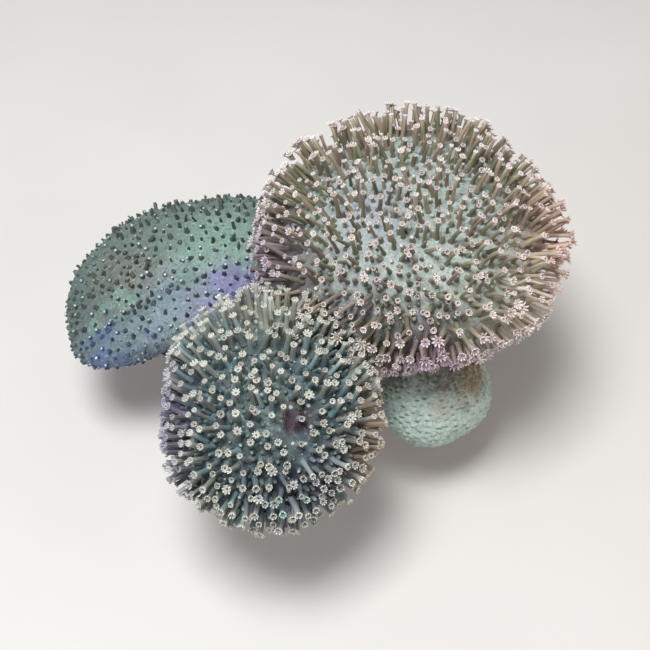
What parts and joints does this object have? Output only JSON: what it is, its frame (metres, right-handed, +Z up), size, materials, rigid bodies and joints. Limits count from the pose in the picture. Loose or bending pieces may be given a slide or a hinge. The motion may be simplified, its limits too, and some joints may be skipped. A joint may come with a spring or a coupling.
{
  "type": "toadstool leather coral",
  "caption": "Toadstool leather coral colony: stalked mushroom-shaped caps fork from a shared trunk, set with open and withdrawn polyps; its foot is cut off flat to stand on.",
  "frame": {"origin": "centre of the flat cut under the trunk, at the height of what the coral stands on", "axes": "+Z up out of the cut, -Y towards the front cap, +X towards the largest cap's side"},
  "size_m": [0.2051, 0.1759, 0.1268],
  "materials": {
    "trunk_flesh": "smooth, moist",
    "large_cap_flesh": "fine-grained, moist",
    "front_cap_flesh": "fine-grained, moist",
    "left_cap_flesh": "pitted, moist",
    "small_cap_flesh": "pitted, moist"
  },
  "bodies": {
    "root": {"trunk": "trunk_flesh", "large_branch": "large_cap_flesh", "front_branch": "front_cap_flesh", "left_branch": "left_cap_flesh", "small_branch": "small_cap_flesh"}
  },
  "joints": []
}
